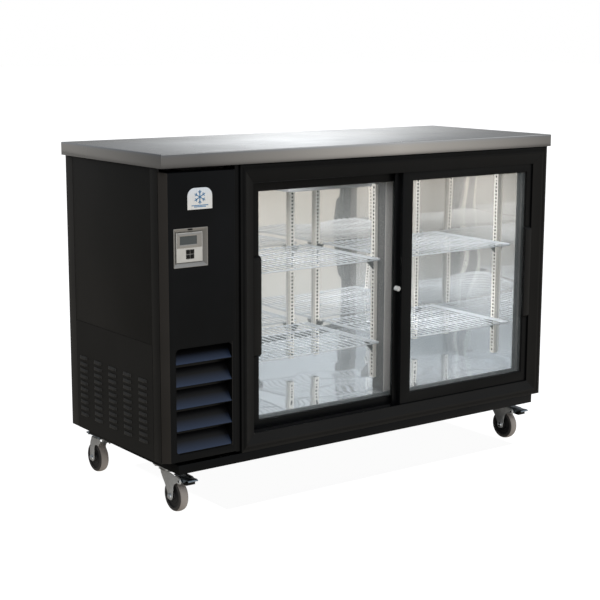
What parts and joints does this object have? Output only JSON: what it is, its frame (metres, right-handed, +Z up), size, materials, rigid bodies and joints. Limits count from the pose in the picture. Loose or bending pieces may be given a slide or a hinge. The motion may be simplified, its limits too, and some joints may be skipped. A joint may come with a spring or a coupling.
{
  "type": "undercounter fridge",
  "caption": "Low back-bar fridge on casters: sliding glass doors in a black frame, steel worktop, wire shelves, and a louvred machine bay with a small controller.",
  "frame": {"origin": "on the floor under the middle of the worktop, which is the bottom centre of the bounding box", "axes": "+X to the right along the width as seen from the front, +Y to the back, +Z up"},
  "size_m": [1.55, 0.6417, 1.08],
  "materials": {
    "worktop_steel": "brushed stainless",
    "insulation": "foam core in plain sheet",
    "liner_steel": "bright stainless",
    "black_panel": "textured matte black",
    "black_cover": "satin black",
    "black_frame": "satin black extrusion",
    "mullion_plastic": "satin dark grey",
    "silver_plastic": "satin silver",
    "controller_face": "satin pale grey",
    "black_plastic": "satin black",
    "badge_metal": "satin",
    "shelf_chrome": "bright wire",
    "standard_steel": "satin",
    "zinc": "zinc plated",
    "tyre_grey": "moulded grey",
    "compressor_black": "gloss black",
    "condenser_fins": "plain fins",
    "galvanised": "galvanised",
    "fan_plastic": "plain",
    "evaporator_grey": "plain grey",
    "clear_glass": "clear"
  },
  "bodies": {
    "cabinet": {"back_standard_left_inner": "standard_steel", "back_standard_left_outer": "standard_steel", "back_standard_right_inner": "standard_steel", "back_standard_right_outer": "standard_steel", "badge": "badge_metal", "base_frame": "black_cover", "caster_plate_front_left": "zinc", "caster_plate_front_right": "zinc", "caster_plate_rear_left": "zinc", "caster_plate_rear_right": "zinc", "centre_mullion": "mullion_plastic", "compressor": "compressor_black", "condenser": "condenser_fins", "controller": "controller_face", "controller_bezel": "silver_plastic", "door_surround": "black_frame", "evaporator": "evaporator_grey", "fan_shroud": "galvanised", "front_cover": "black_cover", "front_standard_left_inner": "standard_steel", "front_standard_left_outer": "standard_steel", "front_standard_right_inner": "standard_steel", "front_standard_right_outer": "standard_steel", "inner_liner": "liner_steel", "insulated_body": "insulation", "left_lower_shelf": "shelf_chrome", "left_side_panel": "black_panel", "left_upper_shelf": "shelf_chrome", "louvre_grille": "black_frame", "lower_track": "black_frame", "rear_cover": "black_panel", "right_lower_shelf": "shelf_chrome", "right_side_panel": "black_panel", "right_upper_shelf": "shelf_chrome", "side_vent_panel": "black_panel", "upper_track": "black_frame", "worktop": "worktop_steel"},
    "left_door": {"left_door_frame": "black_frame", "left_door_glass": "clear_glass", "left_door_handle": "black_plastic"},
    "right_door": {"right_door_frame": "black_frame", "right_door_glass": "clear_glass", "right_door_handle": "black_plastic"},
    "door_lock": {"lock_plunger": "zinc"},
    "condenser_fan_wheel": {"condenser_fan": "fan_plastic"},
    "evaporator_fan_wheel": {"evaporator_fan": "fan_plastic"},
    "key_1_cap": {"key_1": "black_plastic"},
    "key_2_cap": {"key_2": "black_plastic"},
    "key_3_cap": {"key_3": "black_plastic"},
    "key_4_cap": {"key_4": "black_plastic"},
    "front_left_fork": {"fork_front_left": "zinc"},
    "front_left_wheel": {"wheel_front_left": "tyre_grey"},
    "front_left_pedal": {"brake_pedal_front_left": "zinc"},
    "front_right_fork": {"fork_front_right": "zinc"},
    "front_right_wheel": {"wheel_front_right": "tyre_grey"},
    "front_right_pedal": {"brake_pedal_front_right": "zinc"},
    "rear_left_fork": {"fork_rear_left": "zinc"},
    "rear_left_wheel": {"wheel_rear_left": "tyre_grey"},
    "rear_right_fork": {"fork_rear_right": "zinc"},
    "rear_right_wheel": {"wheel_rear_right": "tyre_grey"}
  },
  "joints": [
    {"name": "left_door_slide", "type": "slide", "parent": "cabinet", "child": "left_door", "axis": [1, 0, 0], "range_m": [0, 0.5]},
    {"name": "right_door_slide", "type": "slide", "parent": "cabinet", "child": "right_door", "axis": [1, 0, 0], "range_m": [-0.5, 0]},
    {"name": "lock_push", "type": "slide", "parent": "right_door", "child": "door_lock", "axis": [0, 1, 0], "range_m": [0, 0.008]},
    {"name": "condenser_fan_spin", "type": "hinge", "parent": "cabinet", "child": "condenser_fan_wheel", "pos_m": [-0.635, -0.155, 0.342], "axis": [0, 1, 0], "continuous": true},
    {"name": "evaporator_fan_spin", "type": "hinge", "parent": "cabinet", "child": "evaporator_fan_wheel", "pos_m": [0.13, 0.125, 0.923], "axis": [0, 0, 1], "continuous": true},
    {"name": "key_1_press", "type": "slide", "parent": "cabinet", "child": "key_1_cap", "axis": [0, 1, 0], "range_m": [0, 0.0012], "stiffness_N_per_m": 200},
    {"name": "key_2_press", "type": "slide", "parent": "cabinet", "child": "key_2_cap", "axis": [0, 1, 0], "range_m": [0, 0.0012], "stiffness_N_per_m": 200},
    {"name": "key_3_press", "type": "slide", "parent": "cabinet", "child": "key_3_cap", "axis": [0, 1, 0], "range_m": [0, 0.0012], "stiffness_N_per_m": 200},
    {"name": "key_4_press", "type": "slide", "parent": "cabinet", "child": "key_4_cap", "axis": [0, 1, 0], "range_m": [0, 0.0012], "stiffness_N_per_m": 200},
    {"name": "front_left_swivel", "type": "hinge", "parent": "cabinet", "child": "front_left_fork", "pos_m": [-0.684, -0.18, 0.12], "axis": [0, 0, 1], "continuous": true},
    {"name": "front_left_wheel_spin", "type": "hinge", "parent": "front_left_fork", "child": "front_left_wheel", "pos_m": [-0.684, -0.213, 0.04969], "axis": [1, 0, 0], "continuous": true},
    {"name": "front_left_brake", "type": "hinge", "parent": "front_left_fork", "child": "front_left_pedal", "pos_m": [-0.684, -0.266, 0.109], "axis": [1, 0, 0], "range_deg": [-12, 0]},
    {"name": "front_right_swivel", "type": "hinge", "parent": "cabinet", "child": "front_right_fork", "pos_m": [0.684, -0.18, 0.12], "axis": [0, 0, 1], "continuous": true},
    {"name": "front_right_wheel_spin", "type": "hinge", "parent": "front_right_fork", "child": "front_right_wheel", "pos_m": [0.684, -0.213, 0.04969], "axis": [1, 0, 0], "continuous": true},
    {"name": "front_right_brake", "type": "hinge", "parent": "front_right_fork", "child": "front_right_pedal", "pos_m": [0.684, -0.266, 0.109], "axis": [1, 0, 0], "range_deg": [-12, 0]},
    {"name": "rear_left_swivel", "type": "hinge", "parent": "cabinet", "child": "rear_left_fork", "pos_m": [-0.684, 0.245, 0.12], "axis": [0, 0, 1], "continuous": true},
    {"name": "rear_left_wheel_spin", "type": "hinge", "parent": "rear_left_fork", "child": "rear_left_wheel", "pos_m": [-0.684, 0.278, 0.04969], "axis": [1, 0, 0], "continuous": true},
    {"name": "rear_right_swivel", "type": "hinge", "parent": "cabinet", "child": "rear_right_fork", "pos_m": [0.684, 0.245, 0.12], "axis": [0, 0, 1], "continuous": true},
    {"name": "rear_right_wheel_spin", "type": "hinge", "parent": "rear_right_fork", "child": "rear_right_wheel", "pos_m": [0.684, 0.278, 0.04969], "axis": [1, 0, 0], "continuous": true}
  ]
}
